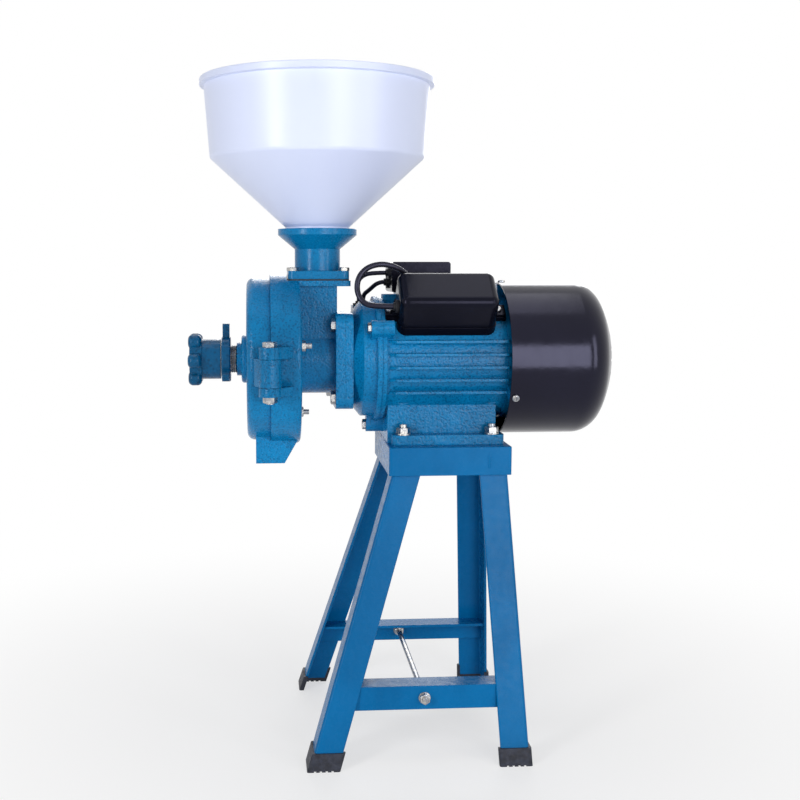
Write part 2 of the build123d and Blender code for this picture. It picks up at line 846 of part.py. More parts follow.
def rear_end_shield():
    """The disc at the fan end with its bearing seat and three ears for the fan cover."""
    shield = along_x(rear_shield_radius, frame_end, frame_end + rear_shield_thickness)
    shield += along_x(rear_bearing_radius + 5, frame_end, rear_shield_end)
    reach = fan_cover_radius - fan_cover_wall
    ears = along_x(reach, frame_end, frame_end + rear_shield_thickness)
    half = cover_ear_width / 2
    for angle in cover_screw_angles:
        arm = block(frame_end, frame_end + rear_shield_thickness, -half, half, 0, reach)
        shield += ears & (Rot(angle, 0, 0) * arm)
    shield -= along_x(rear_bearing_radius + shaft_fit, frame_end - 1, rear_bearing_end)
    shield -= along_x(stub_radius + 1, frame_end - 1, rear_shield_end + 1)
    for angle in rear_boss_angles:
        hole = along_x(
            m6_radius + hole_clearance,
            frame_end - 1,
            frame_end + rear_shield_thickness + 1,
            z=rear_boss_circle,
        )
        shield -= Rot(angle, 0, 0) * hole
    for angle in cover_screw_angles:
        shield -= Rot(angle, 0, 0) * fan_cover_screw_space()
    return shield


def fan_cover_screw_space():
    """The threaded hole under a fan cover screw at the top of the cover."""
    x = frame_end + rear_shield_thickness / 2
    return along_z(screw_radius + thread_fit, fan_cover_radius - screw_length - 1, fan_cover_radius, x)


def bearing(outer, inner, start, width):
    """A sealed ball bearing with shallow steps between rings and seals."""
    ring = ring_x(outer, inner + shaft_fit, start, start + width)
    third = (outer - inner) / 4
    for face, depth in ((start, 0.6), (start + width - 0.6, 0.6)):
        ring -= ring_x(outer - third, inner + third, face, face + depth)
    return ring


def end_shield_bolts():
    """Six like bolts: three in the drive end ears, three in the fan end bosses."""
    one = bolt(m6_radius, ear_length + rear_boss_length - 4, m6_flats, m6_head)
    pieces = []
    for angle in ear_angles:
        y, z = on_shaft_circle(angle, ear_bolt_circle)
        pieces.append(facing((ear_start, y, z), (-1, 0, 0)) * one)
    for angle in rear_boss_angles:
        y, z = on_shaft_circle(angle, rear_boss_circle)
        pieces.append(facing((frame_end + rear_shield_thickness, y, z), (1, 0, 0)) * one)
    return pieces


def cooling_fan():
    fan = along_x(fan_hub_radius, fan_start, fan_end)
    fan += along_x(fan_radius - 2, fan_start, fan_start + fan_blade_thickness)
    half = fan_blade_thickness / 2
    for step in range(fan_blades):
        blade = block(fan_start, fan_end - 1, -half, half, fan_hub_radius - 2, fan_radius)
        fan += Rot(step * 360 / fan_blades, 0, 0) * blade
    return fan - along_x(fan_seat_radius, fan_start - 1, fan_end + 1)


def fan_cover_body(inset):
    """The cover's solid outline, drawn in by the inset."""
    radius = fan_cover_radius - inset
    corner = fan_cover_corner - inset
    crown = crown_radius - inset
    half_way = radians((90 + fan_cover_crown) / 2)
    end_turn = radians(fan_cover_crown)
    side = Line((frame_end, 0, 0), (frame_end, 0, radius))
    top = Line((frame_end, 0, radius), (cover_corner_x, 0, radius))
    centre_r = fan_cover_radius - fan_cover_corner
    middle_point = (cover_corner_x + corner * cos(half_way), 0, centre_r + corner * sin(half_way))
    corner_end = (cover_corner_x + corner * cos(end_turn), 0, centre_r + corner * sin(end_turn))
    shoulder = ThreePointArc((cover_corner_x, 0, radius), middle_point, corner_end)
    crown_middle = (crown_x + crown * cos(end_turn / 2), 0, crown * sin(end_turn / 2))
    crown_end = (crown_x + crown, 0, 0)
    dome = ThreePointArc(corner_end, crown_middle, crown_end)
    axis = Line(crown_end, (frame_end, 0, 0))
    return revolve(make_face([side, top, shoulder, dome, axis]), Axis.X, 360)


def fan_cover():
    cover = fan_cover_body(0) - fan_cover_body(fan_cover_wall)
    half = fan_slot_width / 2
    for step in range(fan_slots):
        slot = block(cover_corner_x, fan_cover_end + 1, -half, half, fan_slot_inner, fan_slot_outer)
        slot = fillet(slot.edges().filter_by(Axis.X), 0.9 * half)
        cover -= Rot(step * 360 / fan_slots, 0, 0) * slot
    x = frame_end + rear_shield_thickness / 2
    for angle in cover_screw_angles:
        hole = along_z(screw_radius + hole_clearance, fan_cover_radius / 2, fan_cover_radius + 1, x)
        cover -= Rot(angle, 0, 0) * hole
    return cover


# Capacitor cover, in its tilted frame until the last step


def capacitor_shell(inset):
    """The rounded box of the capacitor cover, drawn in by the inset."""
    half = capacitor_cover_width / 2 - inset
    top = saddle_top + capacitor_cover_height - inset
    shell = block(capacitor_start + inset, capacitor_end - inset, -half, half, saddle_top, top)
    shell = fillet(shell.edges().filter_by(Axis.Z), capacitor_cover_round - inset)
    return fillet(shell.edges().group_by(Axis.Z)[-1], capacitor_cover_round - inset - 0.5)


def tilt(shape):
    """Turns a piece from the top of the motor to the capacitor cover's place."""
    return Rot(capacitor_tilt, 0, 0) * shape


def capacitor_cover():
    cover = capacitor_shell(0)
    half = tab_width / 2 - 2
    under = saddle_top + cover_ear_thickness
    start = capacitor_start - tab_length
    cover += block(start, capacitor_start + 3, -half, half, saddle_top, under)
    end = capacitor_end + tab_length
    cover += block(capacitor_end - 3, end, -half, half, saddle_top, under)
    cover -= capacitor_shell(capacitor_cover_wall)
    for x, y, z in capacitor_screw_places():
        cover -= along_z(screw_radius + hole_clearance, z - 4, z + 1, x, y)
    cover -= along_x(
        gland_stem_radius,
        capacitor_start - 1,
        capacitor_start + capacitor_cover_wall + 1,
        capacitor_gland_t,
        capacitor_gland_r,
    )
    return tilt(cover)


def capacitor_saddle():
    """The moulded base under the cover, hollowed to the barrel, with a tab at each end."""
    half = capacitor_cover_width / 2 + saddle_border
    base = block(
        capacitor_start - saddle_border,
        capacitor_end + saddle_border,
        -half,
        half,
        frame_barrel_radius / 2,
        saddle_top,
    )
    base = fillet(base.edges().filter_by(Axis.Z), capacitor_cover_round + saddle_border)
    base += block(
        capacitor_start - tab_length,
        capacitor_end + tab_length,
        -tab_width / 2,
        tab_width / 2,
        frame_barrel_radius / 2,
        saddle_top,
    )
    base -= along_x(frame_barrel_radius, capacitor_start - 2 * tab_length, capacitor_end + 2 * tab_length)
    for x, y, z in capacitor_screw_places():
        base -= along_z(screw_radius + hole_clearance, z - 2 * saddle_thickness, z + 1, x, y)
    base = tilt(base)
    rim = along_x(frame_rim_radius + seat_gap, frame_start - 1, frame_start + frame_rim + seat_gap)
    return base - rim


def capacitors():
    """Two capacitors end to end on the saddle."""
    middle = (capacitor_start + capacitor_end) / 2
    pieces = []
    for side in (-1, 1):
        start, end = sorted((middle + side, middle + side * (1 + capacitor_length)))
        can = along_x(capacitor_radius, start, end, z=saddle_top + capacitor_radius)
        pieces.append(tilt(fillet(can.edges().filter_by(GeomType.CIRCLE), 1.5)))
    return pieces


# Switch box


def lid_screw_places():
    """(x, z) of the lid's four screws."""
    inset = box_wall + box_boss_radius - 1
    places = []
    for x in (box_start + inset, box_end - inset):
        for z in (box_bottom + inset, box_top - inset):
            places.append((x, z))
    return places


def supply_gland_place():
    """The gland that the supply lead would use, on the box's end."""
    return (box_end, (box_near_y + box_far_y) / 2, (box_bottom + box_top) / 2)


def switch_box():
    outside = block(box_start, box_end, box_near_y, box_far_y, box_bottom, box_top)
    outside = fillet(outside.edges().filter_by(Axis.Y), 3)
    inside = block(
        box_start + box_wall,
        box_end - box_wall,
        box_near_y + box_wall,
        box_far_y + 1,
        box_bottom + box_wall,
        box_top - box_wall,
    )
    box = outside - inside
    for x, z in lid_screw_places():
        box += along_y(box_boss_radius, box_far_y - box_boss_length, box_far_y, x, z) & outside
    for x, z in lid_screw_places():
        box -= along_y(screw_radius + thread_fit, box_far_y - screw_length, box_far_y + 1, x, z)
    for x, y, z in box_screw_places():
        box -= along_z(screw_radius + hole_clearance, z - 2 * box_wall, z + 1, x, y)
    for y, z in ((upper_gland_y, upper_gland_z), (lower_gland_y, lower_gland_z)):
        box -= along_x(gland_stem_radius, box_start - 1, box_start + box_wall + 1, y, z)
    box -= along_y(
        gland_stem_radius, box_near_y - 1, box_near_y + box_wall + 1, switch_gland_x, switch_gland_z
    )
    x, y, z = supply_gland_place()
    box -= along_x(gland_stem_radius, x - box_wall - 1, x + 1, y, z)
    return box


def switch_box_lid():
    lid = block(box_start, box_end, box_far_y, box_far_y + box_lid, box_bottom, box_top)
    lid = fillet(lid.edges().filter_by(Axis.Y), 3)
    lid -= switch_block(0)
    for x, z in lid_screw_places():
        lid -= along_y(screw_radius + hole_clearance, box_far_y - 1, box_far_y + box_lid + 1, x, z)
    return lid


def switch_block(border):
    """The switch body's block through the lid, grown by the border."""
    z = (box_bottom + box_top) / 2
    return block(
        box_middle - switch_length / 2 - border,
        box_middle + switch_length / 2 + border,
        box_far_y + box_lid - switch_depth,
        box_far_y + box_lid,
        z - switch_height / 2 - border,
        z + switch_height / 2 + border,
    )


rocker_y = box_far_y + box_lid + bezel_thickness - rocker_rise + seat_gap
rocker_z = (box_bottom + box_top) / 2


def switch_body():
    face = box_far_y + box_lid
    body = switch_block(0)
    body += block(
        box_middle - switch_length / 2 - bezel_border,
        box_middle + switch_length / 2 + bezel_border,
        face,
        face + bezel_thickness,
        rocker_z - switch_height / 2 - bezel_border,
        rocker_z + switch_height / 2 + bezel_border,
    )
    room = rocker_radius + seat_gap
    half = rocker_height / 2 + seat_gap
    body -= along_z(room, rocker_z - half, rocker_z + half, box_middle, rocker_y)
    body -= block(
        box_middle - room, box_middle + room, rocker_y, face + 10, rocker_z - half, rocker_z + half
    )
    pin_half = switch_height / 2 - 0.6
    return body - along_z(
        rocker_pin_radius + running_fit, rocker_z - pin_half, rocker_z + pin_half, box_middle, rocker_y
    )


def power_rocker():
    """A rocker on a vertical pin, its two faces meeting in a shallow V."""
    half = rocker_height / 2
    rocker = along_z(rocker_radius, rocker_z - half, rocker_z + half, box_middle, rocker_y)
    rise = rocker_radius * tan(radians(rocker_tilt))
    valley = rocker_y + rocker_rise
    rocker -= plate_z(
        [
            (box_middle, valley),
            (box_middle + rocker_radius, valley + rise),
            (box_middle + rocker_radius, valley + 20),
            (box_middle - rocker_radius, valley + 20),
            (box_middle - rocker_radius, valley + rise),
        ],
        rocker_z - half - 1,
        rocker_z + half + 1,
    )
    pin_half = switch_height / 2 - 0.8
    rocker += along_z(rocker_pin_radius, rocker_z - pin_half, rocker_z + pin_half, box_middle, rocker_y)
    turn = Location((box_middle, rocker_y, rocker_z), (0, 0, -rocker_tilt))
    return turn * Location((-box_middle, -rocker_y, -rocker_z)) * rocker


def terminal_block():
    """A screw terminal strip on the box's floor."""
    bottom = box_bottom + box_wall
    start = box_middle - 15
    strip = block(start, start + 30, box_near_y + 8, box_near_y + 20, bottom, bottom + 12)
    for step in range(4):
        x = start + 4.5 + 7 * step
        strip -= along_z(2, bottom + 7, bottom + 13, x, box_near_y + 14)
        strip -= along_y(2, box_near_y + 7, box_near_y + 12, x, bottom + 5)
    return strip


def gland_places():
    """Each gland's place, the way it points and its lead's radius."""
    tilt_y, tilt_z = tilted(capacitor_gland_t, capacitor_gland_r)
    return [
        ((box_start, upper_gland_y, upper_gland_z), (-1, 0, 0), motor_lead_radius),
        ((box_start, lower_gland_y, lower_gland_z), (-1, 0, 0), motor_lead_radius),
        ((switch_gland_x, box_near_y, switch_gland_z), (0, -1, 0), capacitor_lead_radius),
        (supply_gland_place(), (1, 0, 0), supply_lead_radius),
        ((capacitor_start, tilt_y, tilt_z), (-1, 0, 0), capacitor_lead_radius),
        ((*upper_shield_gland, lead_boss_top), (0, 0, 1), motor_lead_radius),
        ((*lower_shield_gland, lead_boss_top), (0, 0, 1), motor_lead_radius),
    ]


def cable_glands():
    return [facing(place, out) * gland(radius) for place, out, radius in gland_places()]


def gland_mouth(number, further=0.0):
    """A point on a gland's axis, at its face or further out."""
    place, out, _ = gland_places()[number]
    reach = gland_length + further
    return tuple(place[i] + out[i] * reach for i in range(3))


def capacitor_lead_points():
    return [
        gland_mouth(2),
        gland_mouth(2, 15),
        (146, -34, 91.5),
        (134, -45, 99.5),
        (117.5, -47, 103.6),
        (101.5, -47.5, 99.5),
        (92, -49, 88.5),
        (90.5, -52, 73.5),
        (97.5, -56, 61.5),
        gland_mouth(4, 17),
        gland_mouth(4),
    ]


def upper_lead_points():
    return [
        gland_mouth(0),
        gland_mouth(0, 11),
        (104, 25.5, 91.5),
        (96.3, 31, 80),
        gland_mouth(5, 8.5),
        gland_mouth(5),
    ]


def lower_lead_points():
    return [
        gland_mouth(1),
        gland_mouth(1, 6.5),
        (112.5, 45.5, 73.5),
        gland_mouth(6, 6.5),
        gland_mouth(6),
    ]


def lead(name, points, lead_radius):
    """A lead's tube: straight runs joined by arcs of 0.45 of the shorter run."""
    places = [Vector(point) for point in points]
    runs = [after - before for before, after in zip(places, places[1:])]
    radii = []
    for before, after in zip(runs, runs[1:]):
        half_turn = radians(before.get_angle(after) / 2)
        radii.append(0.45 * min(before.length, after.length) / tan(half_turn))
    path = FilletPolyline(*places, radius=radii)
    start = Plane(origin=places[0], z_dir=runs[0])
    tube = sweep(start * Circle(lead_radius), path=path)
    section = pi * lead_radius**2
    print(name, "length", round(path.length, 1), "radii", [round(r, 1) for r in radii])
    print(name, "volume over section times length", round(tube.volume / section / path.length, 4))
    return tube


# Mill


def lug_plate(z_start, z_end, end):
    """A hinge or latch lug of the mill body; end is -1 for the hinge, 1 for the latch."""
    outer = hinge_y + knuckle_radius
    corners = [
        (hinge_x, end * outer),
        (hinge_x + 4, end * outer),
        (lug_arm, end * (pan_radius + 4)),
        (lug_arm, end * (pan_radius - pan_wall)),
        (seat_gap, end * (pan_radius - pan_wall)),
        (seat_gap, end * hinge_y),
        (hinge_x, end * hinge_y),
    ]
    return plate_z(corners, z_start, z_end) + along_z(
        knuckle_radius, z_start, z_end, hinge_x, end * hinge_y
    )


def latch_slot(z_start, z_end):
    """The open slot that lets the latch bolt out towards the front."""
    half = m8_radius + slot_fit
    slot = along_z(half, z_start - 1, z_end + 1, hinge_x, hinge_y)
    return slot + block(
        hinge_x - 2 * knuckle_radius, hinge_x, hinge_y - half, hinge_y + half, z_start - 1, z_end + 1
    )


def fixed_disc_bolt_places():
    """(y, z) of the three bolts through the fixed disc and the pan's back."""
    angles = [fixed_disc_bolt_angle + 120 * step for step in range(3)]
    return [on_shaft_circle(angle, fixed_disc_bolt_circle) for angle in angles]


def adapter_bolt_places():
    """(x, y) of the four bolts of the hopper adapter."""
    half = adapter_bolt_pitch / 2
    return [(inlet_x + i * half, j * half) for i in (-1, 1) for j in (-1, 1)]


def inlet_flange_shape():
    half_x = inlet_flange_length / 2
    half_y = inlet_flange_width / 2
    flange = block(
        inlet_x - half_x,
        inlet_x + half_x,
        -half_y,
        half_y,
        inlet_top - inlet_flange_thickness,
        inlet_top,
    )
    return fillet(flange.edges().filter_by(Axis.Z), inlet_round)


def spout_outline(inset):
    """(x, z) corners of the body's half of the outlet spout."""
    top = -pan_radius / 2
    shoulder = -pan_radius + spout_wall
    bottom = -spout_bottom - (1 if inset else 0)
    front = -1 if inset else 0
    depth = pan_depth if inset else pan_end
    return [
        (front, top),
        (depth, top),
        (depth, shoulder + pan_back),
        (spout_body_depth - inset, bottom),
        (front, bottom),
    ]


def mill_body():
    """The pan behind the cover, with the inlet duct, feed barrel, flange, lugs and half the spout."""
    pan = along_x(pan_radius, 0, pan_end)
    back_edge = pan.edges().filter_by(GeomType.CIRCLE).sort_by(Axis.X)[-1]
    pan = fillet(back_edge, pan_round)
    body = pan - block(
        inlet_x - inlet_flange_length / 2,
        pan_end + 1,
        -inlet_flange_width / 2 - 1,
        inlet_flange_width / 2 + 1,
        inlet_top,
        pan_radius + 1,
    )
    body += plate_y(spout_outline(0), -spout_half_width, spout_half_width)
    body += along_x(barrel_radius, pan_depth, motor_face)
    body += square_flange(mill_flange_start, motor_face, motor_flange_half, motor_flange_round)
    duct_half = duct_width / 2
    duct_end = barrel_end + barrel_end_wall + duct_wall
    body += block(pan_depth, duct_end, -duct_half, duct_half, 0, inlet_top - 1)
    for end in (-1, 1):
        body += lug_plate(knuckle_top + seat_gap, upper_lug_top, end)
        body += lug_plate(lower_lug_bottom, knuckle_bottom - seat_gap, end)
    body -= along_x(pan_radius - pan_wall, -1, pan_depth)
    inner = spout_half_width - spout_wall
    body -= plate_y(spout_outline(spout_wall), -inner, inner)
    body += inlet_flange_shape()
    body -= along_x(barrel_bore, 0, barrel_end)
    body -= along_x(drive_radius + shaft_passage, 0, motor_face + 1)
    body -= along_x(seal_seat_radius, seal_start, motor_face + 1)
    channel = duct_channel_width / 2
    body -= block(
        pan_end + duct_wall, barrel_end, -channel, channel, 0, inlet_top - inlet_flange_thickness
    )
    body -= along_z(adapter_bore, inlet_top - inlet_flange_thickness - 1, inlet_top + 1, inlet_x)
    for y in (-flange_bolt_y, flange_bolt_y):
        for z in (-flange_bolt_z, flange_bolt_z):
            body -= along_x(m8_radius + hole_clearance, mill_flange_start - 1, motor_face + 1, y, z)
    for y, z in fixed_disc_bolt_places():
        body -= along_x(m6_radius + hole_clearance, pan_depth - 1, pan_end + 1, y, z)
    for x, y in adapter_bolt_places():
        bottom = inlet_top - inlet_flange_thickness - 0.5
        body -= along_z(m6_radius + thread_fit, bottom, inlet_top + 1, x, y)
    for z_start, z_end in (
        (knuckle_top + seat_gap, upper_lug_top),
        (lower_lug_bottom, knuckle_bottom - seat_gap),
    ):
        body -= along_z(m8_radius + thread_fit, z_start - 1, z_end + 1, hinge_x, -hinge_y)
        body -= latch_slot(z_start, z_end)
    return body


def cover_knuckle(end):
    """The front cover's knuckle, which sits between the body's lugs."""
    corners = [
        (hinge_x, end * (hinge_y + knuckle_radius)),
        (hinge_x - 4, end * (hinge_y + knuckle_radius)),
        (cover_round - cover_depth, end * (cover_radius + 4)),
        (cover_round - cover_depth, end * (cover_radius - cover_wall)),
        (-seat_gap, end * (cover_radius - cover_wall)),
        (-seat_gap, end * hinge_y),
        (hinge_x, end * hinge_y),
    ]
    knuckle = plate_z(corners, knuckle_bottom, knuckle_top)
    return knuckle + along_z(knuckle_radius, knuckle_bottom, knuckle_top, hinge_x, end * hinge_y)


def front_cover():
    """The hinged cover with its boss for the adjusting screw and its half of the spout."""
    disc = along_x(cover_radius, -cover_depth, 0)
    front_edge = disc.edges().filter_by(GeomType.CIRCLE).sort_by(Axis.X)[0]
    cover = fillet(front_edge, cover_round)
    cover += plate_y(
        [(0, -cover_radius / 2), (-spout_cover_depth, -cover_radius / 2)]
        + [(-spout_cover_depth, -spout_bottom), (0, -spout_bottom)],
        -spout_half_width,
        spout_half_width,
    )
    for end in (-1, 1):
        cover += cover_knuckle(end)
    inside = along_x(cover_radius - cover_wall, cover_wall - cover_depth, 1)
    cover -= inside
    inner = spout_half_width - spout_wall
    throat = spout_wall - spout_cover_depth
    cover -= plate_y(
        [(1, -cover_radius / 2), (throat, -cover_radius / 2)]
        + [(throat, -spout_bottom - 1), (1, -spout_bottom - 1)],
        -inner,
        inner,
    )
    boss = along_x(boss_radius, boss_end, inner_boss_end)
    collar = along_x(collar_radius, -cover_depth - collar_length, -cover_depth + 1)
    collar = fillet(collar.edges().filter_by(GeomType.CIRCLE).sort_by(Axis.X)[0], collar_length / 2)
    cover += boss + collar
    cover -= along_x(screw_thread_radius + running_fit, boss_end - 1, inner_boss_end + 1)
    for end in (-1, 1):
        cover -= along_z(
            m8_radius + running_fit, knuckle_bottom - 1, knuckle_top + 1, hinge_x, end * hinge_y
        )
    return cover


def knuckle_bolt(end):
    """An M8 bolt down through a knuckle and its lugs, head up."""
    length = upper_lug_top - lower_lug_bottom + m8_nut
    seat = facing((hinge_x, end * hinge_y, upper_lug_top), (0, 0, 1))
    return seat * bolt(m8_radius, length + 1, m8_flats, m8_head)


def knuckle_nut(end):
    """The nut under a knuckle bolt."""
    seat = facing((hinge_x, end * hinge_y, lower_lug_bottom), (0, 0, -1))
    return seat * nut(m8_radius, m8_flats, m8_nut)


def disc_groove_cuts(face_start, face_end):
    """Radial grooves for a disc's grinding face."""
    cuts = []
    half = disc_groove_width / 2
    for step in range(disc_grooves):
        cut = block(face_start, face_end, -half, half, disc_bore + 3, disc_radius + 1)
        cuts.append(Rot((step + 0.5) * 360 / disc_grooves, 0, 0) * cut)
    return cuts


def fixed_disc():
    disc = ring_x(disc_radius, disc_bore, fixed_disc_face, pan_depth)
    for cut in disc_groove_cuts(fixed_disc_face - 1, fixed_disc_face + disc_groove_depth):
        disc -= cut
    for y, z in fixed_disc_bolt_places():
        disc -= facing((fixed_disc_face, y, z), (-1, 0, 0)) * countersunk_hole(m6_radius, 20)
    return disc


def fixed_disc_bolts():
    """Three countersunk bolts with nuts behind the pan."""
    length = pan_end - fixed_disc_face + fixed_disc_bolt_tail
    pieces = []
    for y, z in fixed_disc_bolt_places():
        seat = facing((fixed_disc_face, y, z), (-1, 0, 0))
        pieces.append(seat * countersunk_screw(m6_radius, length))
        pieces.append(facing((pan_end, y, z), (1, 0, 0)) * nut(m6_radius, m6_flats, m6_nut))
    return pieces


def runner_screw_seats():
    """Seats of the three screws that hold the running disc on its carrier."""
    seats = []
    for step in range(3):
        y, z = on_shaft_circle(120 * step + 30, runner_screw_circle)
        seats.append(facing((runner_face, y, z), (1, 0, 0)))
    return seats


def runner_disc():
    disc = ring_x(disc_radius, disc_bore, carrier_face, runner_face)
    for cut in disc_groove_cuts(runner_face - disc_groove_depth, runner_face + 1):
        disc -= cut
    for seat in runner_screw_seats():
        disc -= seat * countersunk_hole(m6_radius, runner_disc_thickness + 1)
    return disc


def runner_carrier():
    """The plate behind the running disc, with a blind keyed hub that slides on the shaft."""
    carrier = along_x(carrier_radius, carrier_front, carrier_face)
    carrier += along_x(carrier_hub_radius, carrier_hub_start, runner_face)
    carrier -= along_x(stub_radius + running_fit, carrier_bore_start, runner_face + 1)
    play = running_fit
    half = key_width / 2 + play
    top = stub_radius + key_width / 2 + play
    carrier -= block(carrier_bore_start, runner_face + 1, -half, half, 0, top)
    for seat in runner_screw_seats():
        hole = along_z(m6_radius + thread_fit, -runner_screw_length, 0)
        carrier -= seat * hole
    return carrier


def runner_screws():
    one = countersunk_screw(m6_radius, runner_screw_length)
    return [seat * one for seat in runner_screw_seats()]


def auger():
    """The feed screw that carries grain from the duct to the discs."""
    core = along_x(auger_core_radius, auger_start, auger_end)
    length = auger_end - auger_start - flight_thickness
    path = Helix(auger_pitch, length, auger_core_radius, direction=(0, 0, 1))
    reach = auger_radius - auger_core_radius + 2
    section = Plane(origin=path @ 0, x_dir=(1, 0, 0), z_dir=(0, -1, 0))
    paddle = section * Pos(reach / 2 - 2, 0) * Rectangle(reach, flight_thickness)
    flight = sweep(paddle, path=path, is_frenet=True)
    flight = Pos(auger_start + flight_thickness / 2, 0, 0) * Rot(0, 90, 0) * flight
    return core + flight - along_x(stub_radius, auger_start - 9, auger_end + 9)


def return_spring():
    """A short coil spring between the carrier's hub and the auger."""
    length = spring_room - spring_wire
    path = Helix(length / spring_turns, length, spring_radius)
    wire = Plane(origin=path @ 0, z_dir=path % 0) * Circle(spring_wire / 2)
    coil = sweep(wire, path=path, is_frenet=True)
    return Pos(runner_face + spring_wire / 2, 0, 0) * Rot(0, 90, 0) * coil


def shaft_seal():
    seal = ring_x(seal_seat_radius, drive_radius + running_fit, seal_start, seal_start + seal_width)
    step = (seal_seat_radius - drive_radius) / 4
    groove = ring_x(
        seal_seat_radius - step, drive_radius + step, seal_start + seal_width - 2, seal_start + seal_width
    )
    return seal - groove


def mill_flange_bolts():
    one = bolt(m8_radius, mill_flange_thickness + shield_flange - 0.5, m8_flats, m8_head)
    pieces = []
    for y in (-flange_bolt_y, flange_bolt_y):
        for z in (-flange_bolt_z, flange_bolt_z):
            pieces.append(facing((mill_flange_start, y, z), (-1, 0, 0)) * one)
    return pieces


# Adjuster


def thrust_ball():
    return Pos(-screw_inner_end - ball_radius + ball_stand_out, 0, 0) * Sphere(ball_radius)


def adjusting_screw():
    """A threaded screw with a plain spigot for the knob and a pocket for the ball."""
    start = -screw_inner_end
    profile = [(start, 0), (start, screw_thread_radius - thread_depth)]
    turns = int((start - hub_end) / thread_pitch)
    for turn in range(turns):
        x = start - turn * thread_pitch
        profile.append((x - thread_pitch / 2, screw_thread_radius))
        profile.append((x - thread_pitch, screw_thread_radius - thread_depth))
    profile.append((hub_end, screw_thread_radius - thread_depth))
    profile.append((hub_end, spigot_radius))
    profile.append((knob_start + 1, spigot_radius))
    profile.append((knob_start + 1, 0))
    screw = turned(profile)
    pocket = ball_radius + running_fit
    depth = 2 * ball_radius - ball_stand_out + running_fit
    return screw - along_x(pocket, start - depth, start + 1)


def adjusting_knob():
    """A six-lobed handle with its hub, fast on the screw."""
    knob = along_x(hub_radius, knob_end, hub_end)
    knob += along_x(lobe_circle, knob_start + 1.5, knob_end)
    for step in range(knob_lobes):
        y, z = on_shaft_circle(90 + step * 360 / knob_lobes, lobe_circle)
        lobe = along_x(lobe_radius, knob_start, knob_end, y, z)
        knob += fillet(lobe.edges().filter_by(GeomType.CIRCLE), lobe_round)
    return knob - along_x(spigot_radius, knob_start - 1, hub_end + 1)


def lock_nut():
    """A round nut with three lugs to knock it tight."""
    ring = along_x(lock_nut_radius, lock_nut_start, lock_nut_end)
    piece = chamfer(ring.edges().filter_by(GeomType.CIRCLE), 1)
    half = lug_width / 2
    start = (lock_nut_start + lock_nut_end - lug_thickness) / 2
    end = start + lug_thickness
    for step in range(3):
        lug = block(start, end, -half, half, screw_thread_radius + 2, lug_tip_radius - half)
        lug += along_x(half, start, end, z=lug_tip_radius - half)
        piece += Rot(120 * step, 0, 0) * lug
    return piece - along_x(screw_thread_radius + running_fit, lock_nut_start - 1, lock_nut_end + 1)


# Hopper and adapter


def inlet_plate(z_start, z_end):
    """A square plate over the inlet with the adapter's bolt holes and bore."""
    half = adapter_flange_size / 2
    plate = block(inlet_x - half, inlet_x + half, -half, half, z_start, z_end)
    plate = fillet(plate.edges().filter_by(Axis.Z), inlet_round)
    plate -= along_z(adapter_bore, z_start - 1, z_end + 1, inlet_x)
    for x, y in adapter_bolt_places():
        plate -= along_z(m6_radius + hole_clearance, z_start - 1, z_end + 1, x, y)
    return plate


def hopper_adapter():
    """The funnel between the inlet flange and the hopper."""
    rim_bore = hopper_neck_radius + seat_gap
    ledge = hopper_neck_radius - hopper_wall - 1
    return inlet_plate(gasket_top, adapter_flange_top) + turned_up(
        [
            (adapter_bore, gasket_top),
            (adapter_radius, gasket_top),
            (adapter_radius, adapter_neck_top),
            (adapter_rim_radius, adapter_seat),
            (adapter_rim_radius, adapter_top),
            (rim_bore, adapter_top),
            (rim_bore, adapter_seat),
            (ledge, adapter_seat),
            (adapter_bore, adapter_neck_top),
        ],
        inlet_x,
    )


def adapter_bolts():
    one = bolt(m6_radius, adapter_bolt_length, m6_flats, m6_head)
    return [facing((x, y, adapter_flange_top), (0, 0, 1)) * one for x, y in adapter_bolt_places()]


def hopper():
    """A round plastic hopper: neck, cone, side and rolled lip."""
    wall = hopper_wall
    slant = sqrt((hopper_cone_radius - hopper_neck_radius) ** 2 + hopper_cone_height**2)
    rise = wall * (slant - hopper_cone_height) / (hopper_cone_radius - hopper_neck_radius)
    profile = [
        (hopper_neck_radius - wall, adapter_seat),
        (hopper_neck_radius, adapter_seat),
        (hopper_neck_radius, hopper_cone_start),
        (hopper_cone_radius, hopper_cone_end),
        (hopper_mouth_radius, hopper_lip_start),
        (hopper_mouth_radius + hopper_lip, hopper_lip_start + 1),
        (hopper_mouth_radius + hopper_lip, hopper_top - 1),
        (hopper_mouth_radius + hopper_lip - 1, hopper_top),
        (hopper_mouth_radius - wall + 1, hopper_top),
        (hopper_mouth_radius - wall, hopper_top - 1),
        (hopper_mouth_radius - wall, hopper_lip_start),
        (hopper_cone_radius - wall, hopper_cone_end + rise),
        (hopper_neck_radius - wall, hopper_cone_start + rise),
    ]
    body = turned_up(profile, inlet_x)
    crease = body.edges().filter_by_position(Axis.Z, hopper_cone_end - 1, hopper_cone_end + rise + 1)
    return fillet(crease, hopper_crease_round)


def cover_screws():
    """Eleven like pan-head screws, in the fan cover, capacitor cover and switch box."""
    one = cover_screw()
    pieces = []
    x = frame_end + rear_shield_thickness / 2
    for angle in cover_screw_angles:
        y, z = on_shaft_circle(angle, fan_cover_radius)
        out = (0, y / fan_cover_radius, z / fan_cover_radius)
        pieces.append(facing((x, y, z), out) * one)
    for x, y, z in capacitor_screw_places():
        pieces.append(tilt(Pos(x, y, z) * one))
    for x, z in lid_screw_places():
        pieces.append(facing((x, box_far_y + box_lid, z), (0, 1, 0)) * one)
    for place in box_screw_places():
        pieces.append(Pos(*place) * one)
    return pieces


